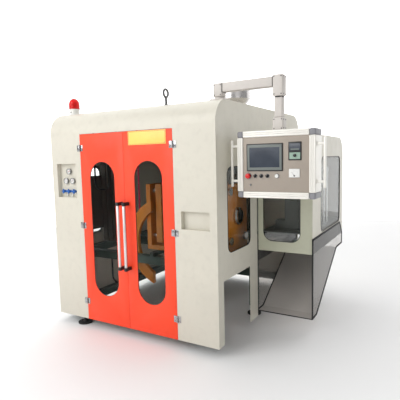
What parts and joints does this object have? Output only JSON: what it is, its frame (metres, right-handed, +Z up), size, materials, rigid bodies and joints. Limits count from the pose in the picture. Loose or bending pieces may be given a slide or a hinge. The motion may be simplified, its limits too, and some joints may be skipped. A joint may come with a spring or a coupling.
{
  "type": "blow moulding machine",
  "caption": "Enclosed extrusion blow moulding machine with glazed doors, side take-out chute and a control box on a swivel arm.",
  "frame": {"origin": "middle of the footprint's bounding box, on the floor", "axes": "+X to the right seen from the door side, +Y from the doors to the rear, +Z up"},
  "size_m": [2.7474, 2.291, 2.535],
  "materials": {
    "cabinet_paint": "fine cream powder coat",
    "extension_paint": "fine grey-green powder coat",
    "clear_acrylic": "clear acrylic sheet",
    "smoked_acrylic": "smoked acrylic sheet",
    "bright_steel": "ground steel",
    "brushed_sheet": "brushed stainless sheet",
    "dial_white": "white moulded plastic",
    "frame_green": "dark green enamel",
    "black_rubber": "black moulded rubber",
    "door_orange": "orange-red powder coat",
    "handle_silver": "satin anodised",
    "plate_yellow": "pale yellow enamel",
    "tap_blue": "blue moulded plastic",
    "machine_amber": "amber enamel",
    "service_grey": "grey machine enamel",
    "duct_brown": "grey-brown duct",
    "hose_pink": "magenta polyurethane tube",
    "lamp_red": "translucent red plastic",
    "stop_red": "red moulded plastic",
    "arm_cream": "light grey-cream powder coat",
    "box_aluminium": "pale anodised extrusion",
    "box_grey": "grey moulded corner",
    "box_taupe": "champagne painted sheet",
    "black_plastic": "black moulded plastic"
  },
  "bodies": {
    "root": {"enclosure_shell": "cabinet_paint", "left_side_panel": "cabinet_paint", "right_side_panel": "cabinet_paint", "extension_shell": "cabinet_paint", "extension_front_panel": "extension_paint", "window_panes": "clear_acrylic", "fixed_hinges": "bright_steel", "front_trays": "cabinet_paint", "pressure_dials": "dial_white", "main_frame": "frame_green", "levelling_feet": "black_rubber", "chute_walls": "smoked_acrylic", "chute_slide": "brushed_sheet", "die_head": "service_grey", "extruder": "service_grey", "hopper": "brushed_sheet", "blow_bracket": "service_grey", "air_manifold": "service_grey", "cable_ducts": "duct_brown", "air_hoses": "hose_pink", "oil_hoses": "black_rubber", "guide_rods": "bright_steel", "lamp_base": "dial_white", "lamp_dome": "lamp_red", "lifting_eye": "bright_steel", "arm_pedestal": "arm_cream"},
    "left_door": {"left_door": "door_orange", "left_door_pane": "clear_acrylic", "left_door_handle": "handle_silver"},
    "right_door": {"right_door": "door_orange", "right_door_pane": "clear_acrylic", "right_door_handle": "handle_silver", "door_plate": "plate_yellow"},
    "air_tap_1": {"air_tap_1": "tap_blue"},
    "air_tap_2": {"air_tap_2": "tap_blue"},
    "air_tap_3": {"air_tap_3": "tap_blue"},
    "carriage": {"carriage": "machine_amber", "tie_bars": "bright_steel", "clamp_ram": "bright_steel"},
    "left_platen": {"left_platen": "machine_amber"},
    "right_platen": {"right_platen": "machine_amber"},
    "blow_pin": {"blow_pin": "bright_steel"},
    "extruder_screw": {"extruder_screw": "bright_steel"},
    "swivel_arm": {"arm_castings": "arm_cream", "arm_tubes": "arm_cream"},
    "control_box": {"box_collar": "arm_cream", "box_rails": "box_aluminium", "box_corners": "box_grey", "box_plates": "box_taupe", "touch_screen": "black_plastic", "speed_controller": "black_plastic", "panel_meter": "dial_white", "switch_bezels": "brushed_sheet", "box_handles": "box_aluminium"},
    "speed_knob": {"speed_knob": "black_plastic"},
    "stop_button": {"stop_button": "stop_red"},
    "selector_1": {"selector_1": "black_plastic"},
    "selector_2": {"selector_2": "black_plastic"},
    "selector_3": {"selector_3": "black_plastic"},
    "start_button": {"start_button": "dial_white"}
  },
  "joints": [
    {"name": "left_door_hinge", "type": "hinge", "parent": "root", "child": "left_door", "pos_m": [-0.96475, -1.0715, 1.02], "axis": [0, 0, -1], "range_deg": [0, 110]},
    {"name": "right_door_hinge", "type": "hinge", "parent": "root", "child": "right_door", "pos_m": [0.13125, -1.0715, 1.02], "axis": [0, 0, 1], "range_deg": [0, 110]},
    {"name": "air_tap_1_turn", "type": "hinge", "parent": "root", "child": "air_tap_1", "pos_m": [-1.24425, -1.0445, 1.386], "axis": [0, 1, 0], "range_deg": [0, 90]},
    {"name": "air_tap_2_turn", "type": "hinge", "parent": "root", "child": "air_tap_2", "pos_m": [-1.17025, -1.0445, 1.386], "axis": [0, 1, 0], "range_deg": [0, 90]},
    {"name": "air_tap_3_turn", "type": "hinge", "parent": "root", "child": "air_tap_3", "pos_m": [-1.09625, -1.0445, 1.386], "axis": [0, 1, 0], "range_deg": [0, 90]},
    {"name": "carriage_travel", "type": "slide", "parent": "root", "child": "carriage", "axis": [0, 1, 0], "range_m": [0, 0.53]},
    {"name": "left_platen_close", "type": "slide", "parent": "carriage", "child": "left_platen", "axis": [1, 0, 0], "range_m": [0, 0.13]},
    {"name": "right_platen_close", "type": "slide", "parent": "carriage", "child": "right_platen", "axis": [-1, 0, 0], "range_m": [0, 0.13]},
    {"name": "blow_pin_stroke", "type": "slide", "parent": "root", "child": "blow_pin", "axis": [0, 0, -1], "range_m": [0, 0.12]},
    {"name": "screw_spin", "type": "hinge", "parent": "root", "child": "extruder_screw", "pos_m": [-0.08375, 0.4355, 1.7], "axis": [0, 1, 0], "continuous": true},
    {"name": "arm_swivel", "type": "hinge", "parent": "root", "child": "swivel_arm", "pos_m": [0.45025, -0.7945, 2.2], "axis": [0, 0, 1], "range_deg": [-15, 15]},
    {"name": "box_swivel", "type": "hinge", "parent": "swivel_arm", "child": "control_box", "pos_m": [0.98325, -0.7945, 1.99], "axis": [0, 0, 1], "range_deg": [-45, 45]},
    {"name": "speed_knob_turn", "type": "hinge", "parent": "control_box", "child": "speed_knob", "pos_m": [1.14375, -0.9145, 1.696], "axis": [0, 1, 0], "range_deg": [-140, 140]},
    {"name": "stop_button_press", "type": "slide", "parent": "control_box", "child": "stop_button", "axis": [0, 1, 0], "range_m": [0, 0.006]},
    {"name": "selector_1_turn", "type": "hinge", "parent": "control_box", "child": "selector_1", "pos_m": [0.81675, -0.9145, 1.539], "axis": [0, 1, 0], "range_deg": [-45, 45]},
    {"name": "selector_2_turn", "type": "hinge", "parent": "control_box", "child": "selector_2", "pos_m": [0.86875, -0.9145, 1.539], "axis": [0, 1, 0], "range_deg": [-45, 45]},
    {"name": "selector_3_turn", "type": "hinge", "parent": "control_box", "child": "selector_3", "pos_m": [0.92075, -0.9145, 1.539], "axis": [0, 1, 0], "range_deg": [-45, 45]},
    {"name": "start_button_press", "type": "slide", "parent": "control_box", "child": "start_button", "axis": [0, 1, 0], "range_m": [0, 0.004], "stiffness_N_per_m": 300}
  ],
  "couplings": [
    {"joint": "right_platen_close", "follows": "left_platen_close", "ratio": 1}
  ]
}
